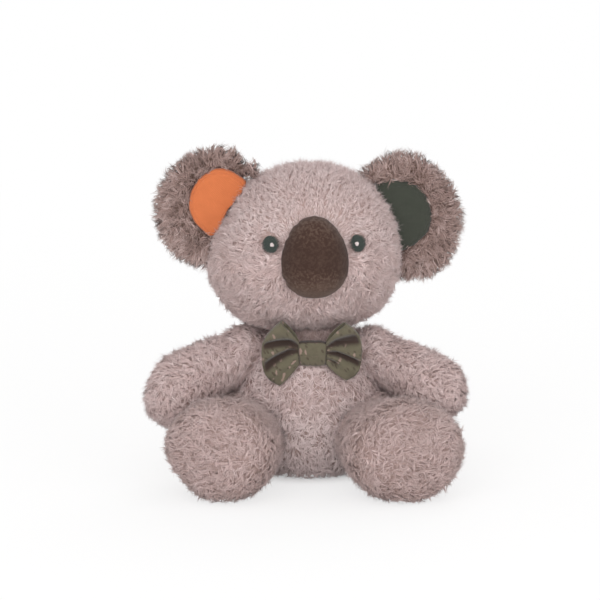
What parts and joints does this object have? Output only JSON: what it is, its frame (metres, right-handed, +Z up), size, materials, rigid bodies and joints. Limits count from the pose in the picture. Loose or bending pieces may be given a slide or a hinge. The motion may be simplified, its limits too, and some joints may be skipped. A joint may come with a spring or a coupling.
{
  "type": "plush koala",
  "caption": "Seated stuffed koala of short-pile fur fabric, with large round ears, woven ear linings, a velvety egg-shaped nose and a fabric bow at the neck.",
  "frame": {"origin": "middle of the seat, on the surface that the toy sits on", "axes": "+Z up, the face and feet towards -Y, the toy's own left side towards +X"},
  "size_m": [0.2611, 0.1952, 0.2675],
  "materials": {
    "fur": "short curly pile, matt",
    "long_pile": "longer darker pile, matt",
    "filling": "loose polyester fibre",
    "nose_velvet": "short velvet, soft sheen",
    "eye_thread": "satin-stitched thread",
    "highlight_thread": "satin-stitched thread",
    "orange_weave": "plain weave, matt",
    "green_weave": "plain weave, matt",
    "bow_cloth": "printed cotton, matt"
  },
  "bodies": {
    "torso": {"torso_skin": "fur", "torso_stuffing": "filling", "bow_cloth": "bow_cloth", "bow_knot_wrap": "bow_cloth", "bow_tack": "bow_cloth"},
    "neck": {"neck_stuffing": "filling"},
    "head": {"head_skin": "fur", "head_stuffing": "filling", "nose_cover": "nose_velvet", "nose_stuffing": "filling", "right_eye": "eye_thread", "right_eye_highlight": "highlight_thread", "left_eye": "eye_thread", "left_eye_highlight": "highlight_thread"},
    "right_ear": {"right_ear_pile": "long_pile", "right_ear_lining": "orange_weave", "right_ear_stuffing": "filling"},
    "left_ear": {"left_ear_pile": "long_pile", "left_ear_lining": "green_weave", "left_ear_stuffing": "filling"},
    "right_arm": {"right_arm_skin": "fur", "right_arm_stuffing": "filling"},
    "left_arm": {"left_arm_skin": "fur", "left_arm_stuffing": "filling"},
    "right_leg": {"right_leg_skin": "fur", "right_foot_sole": "fur", "right_leg_stuffing": "filling"},
    "left_leg": {"left_leg_skin": "fur", "left_foot_sole": "fur", "left_leg_stuffing": "filling"}
  },
  "joints": [
    {"name": "head_turn", "type": "hinge", "parent": "torso", "child": "neck", "pos_m": [0, -0.006, 0.118], "axis": [0, 0, 1], "range_deg": [-15, 15], "stiffness_Nm_per_rad": 0.4},
    {"name": "head_nod", "type": "hinge", "parent": "neck", "child": "head", "pos_m": [0, -0.006, 0.118], "axis": [0.9976, 0.0698, 0], "range_deg": [-10, 3], "stiffness_Nm_per_rad": 0.8, "springref_deg": -0.86},
    {"name": "right_ear_fold", "type": "hinge", "parent": "head", "child": "right_ear", "pos_m": [-0.07669, -0.01537, 0.204], "axis": [0.3978, 0.0278, 0.9171], "range_deg": [-15, 20], "stiffness_Nm_per_rad": 0.05},
    {"name": "left_ear_fold", "type": "hinge", "parent": "head", "child": "left_ear", "pos_m": [0.06727, -0.00531, 0.204], "axis": [0.3978, 0.0278, -0.9171], "range_deg": [-15, 20], "stiffness_Nm_per_rad": 0.05},
    {"name": "right_arm_lift", "type": "hinge", "parent": "torso", "child": "right_arm", "pos_m": [-0.045, -0.007, 0.097], "axis": [0, 1, 0], "range_deg": [0, 26], "stiffness_Nm_per_rad": 0.1},
    {"name": "left_arm_lift", "type": "hinge", "parent": "torso", "child": "left_arm", "pos_m": [0.045, -0.007, 0.097], "axis": [0, -1, 0], "range_deg": [0, 26], "stiffness_Nm_per_rad": 0.1},
    {"name": "right_leg_spread", "type": "hinge", "parent": "torso", "child": "right_leg", "pos_m": [-0.042, -0.014, 0.035], "axis": [0, 0, -1], "range_deg": [0, 8], "stiffness_Nm_per_rad": 0.3},
    {"name": "left_leg_spread", "type": "hinge", "parent": "torso", "child": "left_leg", "pos_m": [0.042, -0.014, 0.035], "axis": [0, 0, 1], "range_deg": [0, 8], "stiffness_Nm_per_rad": 0.3}
  ]
}
